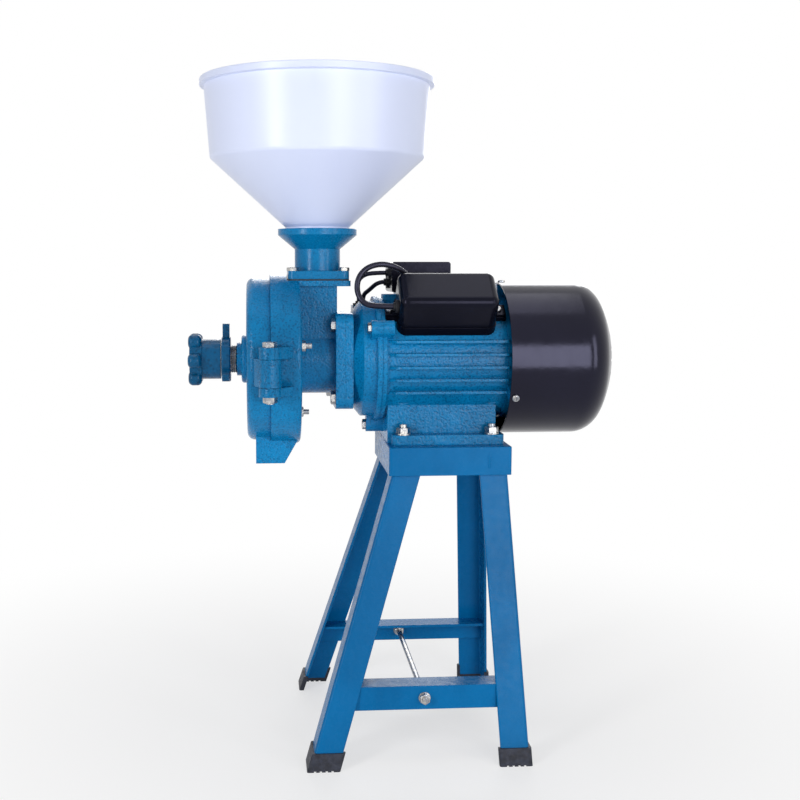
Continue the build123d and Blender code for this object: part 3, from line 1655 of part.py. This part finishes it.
def write(name, shape):
    """Stands a piece on the floor in the part's own frame and writes it."""
    pieces = shape if isinstance(shape, list) else [shape]
    solids = [solid for piece in pieces for solid in piece.solids()]
    group = Pos(-origin_x, 0, axis_height) * Compound(children=solids)
    export_step(group, f"parts/{name}.step")


def write_stand():
    irons = {}
    for end, row in ((-1, "front"), (1, "rear")):
        for side, place in ((-1, "left"), (1, "right")):
            irons[side, end] = leg(side, end)
            write(f"{row}_{place}_leg", irons[side, end])
        write(f"{row}_brace", brace(end, [irons[-1, end], irons[1, end]]))
    write("rubber_feet", [rubber_foot(side, end, iron) for (side, end), iron in irons.items()])
    write("stand_top_frame", stand_top_frame())
    write("tie_rod", tie_rod())
    write("tie_rod_nuts", tie_rod_nuts())
    write("foot_bolts", foot_bolts())
    write("foot_nuts", foot_nuts())


def write_motor():
    write("motor_frame", motor_frame())
    write("stator_core", stator_core())
    write("stator_windings", stator_windings())
    write("rotor_core", rotor_core())
    write("motor_shaft", motor_shaft())
    write("drive_end_shield", drive_end_shield())
    write("rear_end_shield", rear_end_shield())
    drive = bearing(drive_bearing_radius, drive_radius, drive_bearing_start, drive_bearing_width)
    write("drive_end_bearing", drive)
    rear = bearing(rear_bearing_radius, stub_radius, rear_bearing_start, rear_bearing_width)
    write("rear_bearing", rear)
    write("end_shield_bolts", end_shield_bolts())
    write("cooling_fan", cooling_fan())
    write("fan_cover", fan_cover())
    write("cover_screws", cover_screws())


def write_electrics():
    write("capacitor_cover", capacitor_cover())
    write("capacitor_saddle", capacitor_saddle())
    write("capacitors", capacitors())
    write("switch_box", switch_box())
    write("switch_box_lid", switch_box_lid())
    write("switch_body", switch_body())
    write("power_rocker", power_rocker())
    write("terminal_block", terminal_block())
    write("cable_glands", cable_glands())
    write("capacitor_lead", lead("capacitor_lead", capacitor_lead_points(), capacitor_lead_radius))
    write("upper_motor_lead", lead("upper_motor_lead", upper_lead_points(), motor_lead_radius))
    write("lower_motor_lead", lead("lower_motor_lead", lower_lead_points(), motor_lead_radius))


def write_mill():
    write("mill_body", mill_body())
    write("front_cover", front_cover())
    write("hinge_pin", [knuckle_bolt(-1), knuckle_nut(-1)])
    write("latch_bolt", knuckle_bolt(1))
    write("latch_nut", knuckle_nut(1))
    write("fixed_disc", fixed_disc())
    write("fixed_disc_bolts", fixed_disc_bolts())
    write("runner_disc", runner_disc())
    write("runner_carrier", runner_carrier())
    write("runner_screws", runner_screws())
    write("drive_key", key_block(0))
    write("auger", auger())
    write("return_spring", return_spring())
    write("shaft_seal", shaft_seal())
    write("mill_flange_bolts", mill_flange_bolts())
    write("thrust_ball", thrust_ball())
    write("adjusting_screw", adjusting_screw())
    write("adjusting_knob", adjusting_knob())
    write("lock_nut", lock_nut())


def write_hopper():
    write("inlet_gasket", inlet_plate(inlet_top, gasket_top))
    write("hopper_adapter", hopper_adapter())
    write("adapter_bolts", adapter_bolts())
    write("hopper", hopper())


def main():
    os.makedirs("parts", exist_ok=True)
    write_stand()
    write_motor()
    write_electrics()
    write_mill()
    write_hopper()


main()
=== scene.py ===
import json
from math import cos, pi, radians, sin

import bmesh
import bpy
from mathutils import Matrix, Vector


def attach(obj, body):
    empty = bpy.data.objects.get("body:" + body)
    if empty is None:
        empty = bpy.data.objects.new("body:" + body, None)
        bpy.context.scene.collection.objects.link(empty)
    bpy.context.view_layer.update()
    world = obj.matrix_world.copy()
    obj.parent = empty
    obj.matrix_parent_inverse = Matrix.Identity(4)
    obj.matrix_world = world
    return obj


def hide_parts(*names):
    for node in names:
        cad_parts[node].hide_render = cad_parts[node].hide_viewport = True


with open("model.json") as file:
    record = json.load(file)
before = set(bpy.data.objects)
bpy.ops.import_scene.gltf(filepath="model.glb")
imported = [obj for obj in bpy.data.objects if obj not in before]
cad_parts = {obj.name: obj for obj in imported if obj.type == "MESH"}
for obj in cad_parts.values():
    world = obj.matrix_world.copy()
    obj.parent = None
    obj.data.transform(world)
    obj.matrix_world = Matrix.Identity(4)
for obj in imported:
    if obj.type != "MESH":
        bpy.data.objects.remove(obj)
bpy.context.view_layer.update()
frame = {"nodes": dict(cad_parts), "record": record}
scene = bpy.context.scene
nodes = frame["nodes"]

# The shaft coordinates of part.py: x = 0 at the mill's parting plane, z = 0 on the shaft
ORIGIN_X = 0.143057192
AXIS_HEIGHT = 0.414


def at(x, y, z):
    """A place in the row frame, in metres, from shaft coordinates in millimetres."""
    return Vector((x / 1000 - ORIGIN_X, y / 1000, z / 1000 + AXIS_HEIGHT))


# The camera's place, turn, tilt, lens and sensor in millimetres, and frame shift
CAMERA_PLACE = at(-10.6, -1241.6, 99.5)
CAMERA_YAW = radians(4.0)
CAMERA_PITCH = radians(6.3)
CAMERA_LENS = 51.12
CAMERA_SENSOR = 36.0
CAMERA_SHIFT = (0.0755, -0.0091)

# The routes of the leads, in shaft millimetres
CAPACITOR_LEAD = (
    (151, -1, 86),
    (151, -16, 86),
    (146, -34, 91.5),
    (134, -45, 99.5),
    (117.5, -47, 103.6),
    (101.5, -47.5, 99.5),
    (92, -49, 88.5),
    (90.5, -52, 73.5),
    (97.5, -56, 61.5),
    (111.5, -57.56, 58.82),
    (128.5, -57.56, 58.82),
)
UPPER_MOTOR_LEAD = (
    (129, 22, 93.5),
    (118, 22, 93.5),
    (104, 25.5, 91.5),
    (96.3, 31, 80),
    (100.5, 36, 70.5),
    (100.5, 36, 62),
)
LOWER_MOTOR_LEAD = (
    (129, 40, 83),
    (122.5, 40, 83),
    (112.5, 45.5, 73.5),
    (106.5, 50, 68.5),
    (106.5, 50, 62),
)
# Each lead's CAD node, route and diameter in millimetres
LEADS = (
    ("capacitor_lead", CAPACITOR_LEAD, 6.0),
    ("upper_motor_lead", UPPER_MOTOR_LEAD, 5.0),
    ("lower_motor_lead", LOWER_MOTOR_LEAD, 5.0),
)

# The weld bead on the frame's front, in shaft millimetres
FRAME_FRONT_Y = -76.0
BEAD_X = 229.0
BEAD_BOTTOM = -111.4
BEAD_HEIGHT = 17.0
BEAD_WIDTH = 3.8
BEAD_RISE = 1.0
BEAD_SINK = 0.1
BEAD_RIPPLES = 9
RIPPLE_DEPTH = 0.2
BEAD_ROWS = 40
BEAD_COLUMNS = 8
BEAD_TIP = 0.03
BEAD_TAPER = 0.35

# Floor and world: white to the camera, with a soft fill for the rest
FLOOR_HALF = 6.0
FADE_START, FADE_END = 0.15, 0.9
FADE_NEAR = 0.6
WORLD_FILL = 0.2

# Each lamp's name, place, aim, size and power, in metres and watts
LAMPS = (
    ("front", (0.68, -2.0, 0.62), (0.05, 0, 0.38), (0.8, 1.15), 15),
    ("left", (-1.25, -1.2, 0.75), (-0.1, 0, 0.55), (0.35, 1.0), 12),
    ("right", (1.25, -1.15, 0.7), (0, 0, 0.5), (0.35, 1.1), 5),
    ("top", (0.0, 0.1, 1.9), (0, 0, 0.4), (1.2, 1.2), 6),
    ("rear", (0.3, 1.7, 1.1), (0, 0, 0.4), (1.2, 0.8), 10),
)


def add_camera():
    data = bpy.data.cameras.new("camera")
    data.sensor_width = CAMERA_SENSOR
    data.lens = CAMERA_LENS
    data.shift_x, data.shift_y = CAMERA_SHIFT
    camera = bpy.data.objects.new("camera", data)
    camera.location = CAMERA_PLACE
    camera.rotation_euler = (pi / 2 - CAMERA_PITCH, 0, -CAMERA_YAW)
    scene.collection.objects.link(camera)
    scene.camera = camera


# Materials


def srgb(red, green, blue):
    """A colour as linear RGBA from the 0 to 255 values that a screen shows."""
    values = []
    for part in (red, green, blue):
        share = part / 255
        values.append(share / 12.92 if share <= 0.04045 else ((share + 0.055) / 1.055) ** 2.4)
    return (*values, 1.0)


class Look:
    """A material made of a Principled shader and the nodes that feed it."""

    def __init__(self, name, colour, roughness, **sockets):
        self.material = bpy.data.materials.new(name)
        self.material.use_nodes = True
        self.tree = self.material.node_tree
        self.shader = self.tree.nodes["Principled BSDF"]
        self.feed(self.shader, "Base Color", colour)
        self.feed(self.shader, "Roughness", roughness)
        for socket, value in sockets.items():
            self.feed(self.shader, socket.replace("_", " "), value)
        self.place = self.node("ShaderNodeTexCoord").outputs["Object"]
        self.last_normal = None

    def feed(self, node, socket, value):
        """Links a node's input to another node's output, or sets it to a plain value."""
        if isinstance(value, bpy.types.NodeSocket):
            self.tree.links.new(value, node.inputs[socket])
        else:
            node.inputs[socket].default_value = value

    def node(self, kind, inputs=(), **settings):
        made = self.tree.nodes.new(kind)
        for setting, value in settings.items():
            setattr(made, setting, value)
        for socket, value in dict(inputs).items():
            self.feed(made, socket, value)
        return made

    def noise(self, scale, detail, rough=0.55, stretch=None):
        place = self.place
        if stretch:
            inputs = {"Vector": place, "Scale": stretch}
            place = self.node("ShaderNodeMapping", inputs).outputs["Vector"]
        inputs = {"Vector": place, "Scale": scale, "Detail": detail, "Roughness": rough}
        return self.node("ShaderNodeTexNoise", inputs).outputs["Fac"]

    def cells(self, scale):
        inputs = {"Vector": self.place, "Scale": scale, "Smoothness": 0.6}
        made = self.node("ShaderNodeTexVoronoi", inputs, feature="SMOOTH_F1")
        return made.outputs["Distance"]

    def waves(self, scale, distortion=0.0):
        """Sheets or wires that follow each other along x."""
        inputs = {"Vector": self.place, "Scale": scale, "Distortion": distortion}
        return self.node("ShaderNodeTexWave", inputs, bands_direction="X").outputs["Fac"]

    def span(self, value, start, end, to_start=0.0, to_end=1.0):
        """A smooth step of a value from one range to another."""
        inputs = {
            "Value": value,
            "From Min": start,
            "From Max": end,
            "To Min": to_start,
            "To Max": to_end,
        }
        made = self.node("ShaderNodeMapRange", inputs, interpolation_type="SMOOTHSTEP")
        return made.outputs["Result"]

    def patches(self, scale, detail, low=0.0, high=1.0, start=0.3, end=0.7):
        """Soft patches of noise between two values."""
        return self.span(self.noise(scale, detail), start, end, low, high)

    def joined(self, operation, one, other):
        return self.node("ShaderNodeMath", {0: one, 1: other}, operation=operation).outputs[0]

    def shades(self, factor, deep, bright):
        """Colours the surface between two shades."""
        made = self.node("ShaderNodeMix", {0: factor, 6: deep, 7: bright}, data_type="RGBA")
        self.feed(self.shader, "Base Color", made.outputs[2])

    def roughness(self, value):
        self.feed(self.shader, "Roughness", value)

    def use_normal(self, normal):
        self.last_normal = normal
        self.feed(self.shader, "Normal", normal)

    def soft_edges(self, radius):
        """Shades sharp edges as if they were rounded, to a radius in metres."""
        made = self.node("ShaderNodeBevel", {"Radius": radius}, samples=4)
        self.use_normal(made.outputs["Normal"])

    def bump(self, height, depth, strength=1.0):
        """Adds relief of a depth in metres to what earlier calls gave."""
        inputs = {"Height": height, "Distance": depth, "Strength": strength}
        made = self.node("ShaderNodeBump", inputs)
        if self.last_normal:
            self.feed(made, "Normal", self.last_normal)
        self.use_normal(made.outputs["Normal"])


def smooth_enamel(name, deep, bright):
    """Sprayed gloss paint over rolled steel, with a faint orange peel and drawn streaks."""
    look = Look(name, bright, 0.3, Specular_IOR_Level=0.1)
    clouds = look.patches(7.0, 3.0)
    streaks = look.noise(70.0, 2.0, stretch=(1.0, 1.0, 0.1))
    tone = look.joined("ADD", clouds, look.joined("MULTIPLY", streaks, 0.5))
    look.shades(look.span(tone, 0.2, 1.3), deep, bright)
    look.roughness(look.patches(150.0, 3.0, 0.2, 0.34))
    look.soft_edges(0.0009)
    look.bump(look.noise(420.0, 2.0), 0.00007)
    look.bump(look.noise(60.0, 2.0), 0.0002, 0.5)
    return look.material


def cast_enamel(name, deep, bright, relief, grain=520.0):
    """Thick gloss enamel over sand-cast iron: hammered, with painted shade darkening its pits.
    """
    look = Look(name, bright, 0.22, Specular_IOR_Level=0.18)
    lumps = look.noise(grain, 2.0, 0.5)
    pits = look.cells(0.8 * grain)
    height = look.joined("MULTIPLY", look.joined("ADD", lumps, pits), 0.5)
    clouds = look.joined("MULTIPLY", look.patches(11.0, 3.0), 0.5)
    # Painted shade: the colour darkens where the hammered relief sinks into pits
    shade = look.joined("MULTIPLY", look.span(height, 0.28, 0.52), 0.5)
    look.shades(look.joined("ADD", clouds, shade), deep, bright)
    look.roughness(look.span(lumps, 0.3, 0.7, 0.14, 0.3))
    look.soft_edges(0.0012)
    look.bump(look.noise(40.0, 2.0), 0.0005 * relief, 0.6)
    look.bump(height, 0.0008 * relief, 0.9)
    return look.material


def zinc_plate():
    """Zinc over steel: faintly clouded, with fine turning marks."""
    look = Look("zinc_plate", srgb(168, 171, 178), 0.26, Metallic=1.0)
    clouds = look.patches(170.0, 4.0, start=0.35, end=0.65)
    look.shades(clouds, srgb(146, 150, 158), srgb(188, 185, 180))
    look.roughness(look.patches(620.0, 3.0, 0.2, 0.38))
    look.soft_edges(0.0004)
    look.bump(look.noise(900.0, 3.0), 0.00008)
    return look.material


def bare_steel(name, colour, low, high):
    """Machined or drawn metal without paint, darker in patches."""
    look = Look(name, colour, low, Metallic=1.0)
    darker = tuple(0.62 * part for part in colour[:3]) + (1.0,)
    look.shades(look.patches(90.0, 4.0), darker, colour)
    look.roughness(look.patches(420.0, 4.0, low, high))
    look.bump(look.noise(700.0, 3.0), 0.0001)
    return look.material


def gloss_coat(name, deep, bright, low, high, specular):
    """Gloss paint or moulded plastic with a faint orange peel and bluish shine."""
    look = Look(name, deep, low, Specular_IOR_Level=specular, Specular_Tint=srgb(214, 214, 255))
    look.shades(look.patches(12.0, 4.0), deep, bright)
    look.roughness(look.patches(85.0, 4.0, low, high))
    look.soft_edges(0.0008)
    look.bump(look.noise(260.0, 2.0), 0.00006)
    return look.material


def soft_matt(name, deep, bright, low, high, relief):
    """Rubber, fibre or matt plastic."""
    look = Look(name, deep, low, Specular_IOR_Level=0.35)
    look.shades(look.patches(130.0, 5.0, start=0.35), deep, bright)
    look.roughness(look.patches(300.0, 3.0, low, high))
    look.bump(look.noise(800.0, 3.0), relief)
    return look.material


def hopper_plastic():
    """Milky thin plastic with a smooth moulded gloss and faint flow clouds."""
    look = Look("hopper_plastic", srgb(222, 230, 254), 0.3, Specular_IOR_Level=0.45)
    look.shades(look.patches(5.0, 2.0), srgb(217, 225, 253), srgb(222, 230, 255))
    look.roughness(look.patches(20.0, 2.0, 0.3, 0.34))
    return look.material


def laminated_steel():
    """Thin punched sheets stacked along the shaft."""
    look = Look("laminated_steel", srgb(120, 122, 126), 0.45, Metallic=1.0)
    sheets = look.waves(320.0)
    look.shades(sheets, srgb(84, 84, 88), srgb(138, 140, 144))
    look.roughness(look.patches(300.0, 3.0, 0.35, 0.55))
    look.bump(sheets, 0.0002)
    return look.material


def copper_wire():
    """Varnished copper wire, wound round the shaft's line."""
    look = Look("copper_wire", srgb(176, 92, 44), 0.3, Metallic=0.85, Coat_Weight=0.5)
    wires = look.waves(230.0, 1.5)
    look.shades(wires, srgb(118, 52, 22), srgb(196, 108, 52))
    look.roughness(look.patches(400.0, 3.0, 0.24, 0.4))
    look.bump(wires, 0.0004)
    return look.material


def cast_iron():
    """Bare cast iron with ground faces."""
    look = Look("bare_iron", srgb(110, 108, 104), 0.5, Metallic=0.9)
    look.shades(look.patches(120.0, 5.0), srgb(74, 72, 70), srgb(128, 126, 122))
    look.roughness(look.patches(260.0, 4.0, 0.4, 0.62))
    look.bump(look.noise(480.0, 4.0), 0.0003)
    return look.material


# Paint over rolled steel: deep shade and bright shade
SMOOTH_ENAMELS = {
    "stand_paint": (srgb(2, 96, 152), srgb(3, 108, 168)),
}
# Paint over castings: deep shade, bright shade, relief and grain
CAST_ENAMELS = {
    "cast_paint": (srgb(1, 74, 116), srgb(6, 128, 186), 0.7),
    "shield_paint": (srgb(1, 70, 110), srgb(5, 104, 154), 0.4),
    "adjuster_paint": (srgb(1, 58, 90), srgb(6, 92, 138), 0.3, 300.0),
    "adapter_paint": (srgb(1, 88, 136), srgb(6, 120, 174), 0.2),
}
# Bare metals: colour, lowest and highest roughness
BARE_STEELS = {
    "machined_steel": (srgb(190, 190, 192), 0.2, 0.4),
    "capacitor_can": (srgb(206, 208, 212), 0.28, 0.42),
}
# Gloss paint and plastic: two shades, lowest and highest roughness, shine
GLOSS_COATS = {
    "black_paint": (srgb(5, 4, 12), srgb(9, 8, 20), 0.14, 0.2, 0.36),
    "black_plastic": (srgb(8, 9, 16), srgb(13, 14, 24), 0.14, 0.22, 0.14),
    "rocker_plastic": (srgb(150, 14, 14), srgb(186, 22, 20), 0.16, 0.26, 0.3),
    "lead_jacket": (srgb(14, 13, 19), srgb(24, 23, 31), 0.24, 0.34, 0.4),
}
# Rubber, fibre and matt plastic: two shades, lowest and highest roughness, relief in metres
SOFT_MATTS = {
    "foot_rubber": (srgb(26, 28, 38), srgb(44, 48, 62), 0.45, 0.7, 0.0003),
    "gland_rubber": (srgb(20, 20, 24), srgb(34, 34, 40), 0.4, 0.6, 0.0002),
    "fan_plastic": (srgb(30, 31, 34), srgb(46, 47, 52), 0.4, 0.55, 0.0001),
    "terminal_plastic": (srgb(222, 214, 192), srgb(234, 228, 208), 0.35, 0.5, 0.0001),
    "gasket_fibre": (srgb(40, 40, 42), srgb(60, 58, 56), 0.6, 0.8, 0.0003),
}


def make_looks():
    """Every material, under the name of its slot."""
    looks = {
        "zinc_plate": zinc_plate(),
        "core_steel": laminated_steel(),
        "copper": copper_wire(),
        "grinding_iron": cast_iron(),
        "hopper_plastic": hopper_plastic(),
    }
    for make, table in (
        (smooth_enamel, SMOOTH_ENAMELS),
        (cast_enamel, CAST_ENAMELS),
        (bare_steel, BARE_STEELS),
        (gloss_coat, GLOSS_COATS),
        (soft_matt, SOFT_MATTS),
    ):
        for name, values in table.items():
            looks[name] = make(name, *values)
    return looks


LOOKS = make_looks()


def dress_nodes():
    """Gives every CAD node the look of its material slot."""
    for entry in frame["record"]["subparts"]:
        made = nodes[entry["node"]]
        look = LOOKS[entry["material_slot"]]
        if not made.material_slots:
            made.data.materials.append(look)
        for place in made.material_slots:
            place.material = look


# Pieces


def add_lead(node, points, diameter):
    """A lead as one smooth curve through its route."""
    data = bpy.data.curves.new(node + "_flex", "CURVE")
    data.dimensions = "3D"
    spline = data.splines.new("NURBS")
    spline.points.add(len(points) - 1)
    for place, point in zip(spline.points, points):
        place.co = (*at(*point), 1.0)
    spline.order_u = 3
    spline.use_endpoint_u = True
    spline.resolution_u = 24
    data.bevel_depth = diameter / 2000
    data.bevel_resolution = 8
    data.use_fill_caps = True
    lead = bpy.data.objects.new(node + "_flex", data)
    scene.collection.objects.link(lead)
    data.materials.append(LOOKS["lead_jacket"])
    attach(lead, "machine")
    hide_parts(node)


def bead_point(along, turn):
    """A point of the weld bead, at a share of its height and an angle round its face."""
    swell = 1 - RIPPLE_DEPTH + RIPPLE_DEPTH * abs(cos(along * BEAD_RIPPLES * pi))
    swell *= sin(pi * min(max(along, BEAD_TIP), 1 - BEAD_TIP)) ** BEAD_TAPER
    x = BEAD_X + BEAD_WIDTH / 2 * cos(turn) * swell
    y = FRAME_FRONT_Y + BEAD_SINK - BEAD_RISE * sin(turn) * swell
    return at(x, y, BEAD_BOTTOM + along * BEAD_HEIGHT)


def add_frame_bead():
    """A short painted weld bead up the front of the top frame."""
    mesh = bmesh.new()
    for row in range(BEAD_ROWS + 1):
        for column in range(BEAD_COLUMNS + 1):
            mesh.verts.new(bead_point(row / BEAD_ROWS, pi * column / BEAD_COLUMNS))
    mesh.verts.ensure_lookup_table()
    stride = BEAD_COLUMNS + 1
    for row in range(BEAD_ROWS):
        for column in range(BEAD_COLUMNS):
            first = row * stride + column
            corners = (first, first + 1, first + stride + 1, first + stride)
            mesh.faces.new([mesh.verts[corner] for corner in corners]).smooth = True
    data = bpy.data.meshes.new("frame_bead")
    mesh.to_mesh(data)
    mesh.free()
    bead = bpy.data.objects.new("frame_bead", data)
    scene.collection.objects.link(bead)
    data.materials.append(LOOKS["stand_paint"])
    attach(bead, "machine")


# Floor, backdrop and light


def seen_rays(tree):
    """An output that is 1 for camera, glossy and transmission rays, and 0 for the rest."""
    rays = tree.nodes.new("ShaderNodeLightPath")
    seen = rays.outputs["Is Camera Ray"]
    for kind in ("Is Glossy Ray", "Is Transmission Ray"):
        either = tree.nodes.new("ShaderNodeMath")
        either.operation = "MAXIMUM"
        tree.links.new(seen, either.inputs[0])
        tree.links.new(rays.outputs[kind], either.inputs[1])
        seen = either.outputs[0]
    return seen


def add_floor():
    """A pale floor that keeps the shadow and runs out into the white background."""
    mesh = bpy.data.meshes.new("floor")
    half = FLOOR_HALF
    corners = [(-half, -half, 0), (half, -half, 0), (half, half, 0), (-half, half, 0)]
    mesh.from_pydata(corners, [], [(0, 1, 2, 3)])
    floor = bpy.data.objects.new("floor", mesh)
    scene.collection.objects.link(floor)
    look = Look("floor", srgb(246, 246, 247), 0.7, Specular_IOR_Level=0.1)
    far = look.node("ShaderNodeVectorMath", {0: look.place}, operation="LENGTH").outputs["Value"]
    fade = look.span(far, FADE_START, FADE_END, FADE_NEAR, 1.0)
    white = look.node("ShaderNodeEmission", {"Color": (1, 1, 1, 1), "Strength": 1.0})
    share = look.joined("MULTIPLY", fade, seen_rays(look.tree))
    inputs = {0: share, 1: look.shader.outputs[0], 2: white.outputs[0]}
    blend = look.node("ShaderNodeMixShader", inputs)
    output = next(node for node in look.tree.nodes if node.type == "OUTPUT_MATERIAL")
    look.feed(output, "Surface", blend.outputs[0])
    mesh.materials.append(look.material)


def set_world():
    """White to the camera and in reflections, and a plain soft fill for everything else."""
    world = bpy.data.worlds.new("studio")
    scene.world = world
    world.use_nodes = True
    tree = world.node_tree
    strength = tree.nodes.new("ShaderNodeMapRange")
    strength.inputs["To Min"].default_value = WORLD_FILL
    strength.inputs["To Max"].default_value = 1.0
    tree.links.new(seen_rays(tree), strength.inputs["Value"])
    background = tree.nodes["Background"]
    background.inputs["Color"].default_value = (1, 1, 1, 1)
    tree.links.new(strength.outputs["Result"], background.inputs["Strength"])


def add_lamp(name, place, aim, size, power):
    data = bpy.data.lights.new(name, "AREA")
    data.shape = "RECTANGLE"
    data.size, data.size_y = size
    data.energy = power
    lamp = bpy.data.objects.new(name, data)
    lamp.location = place
    lamp.rotation_euler = (Vector(aim) - Vector(place)).to_track_quat("-Z", "Y").to_euler()
    scene.collection.objects.link(lamp)


scene.view_settings.view_transform = "Standard"
add_camera()
for lead in LEADS:
    add_lead(*lead)
dress_nodes()
add_frame_bead()
set_world()
add_floor()
for lamp in LAMPS:
    add_lamp(*lamp)
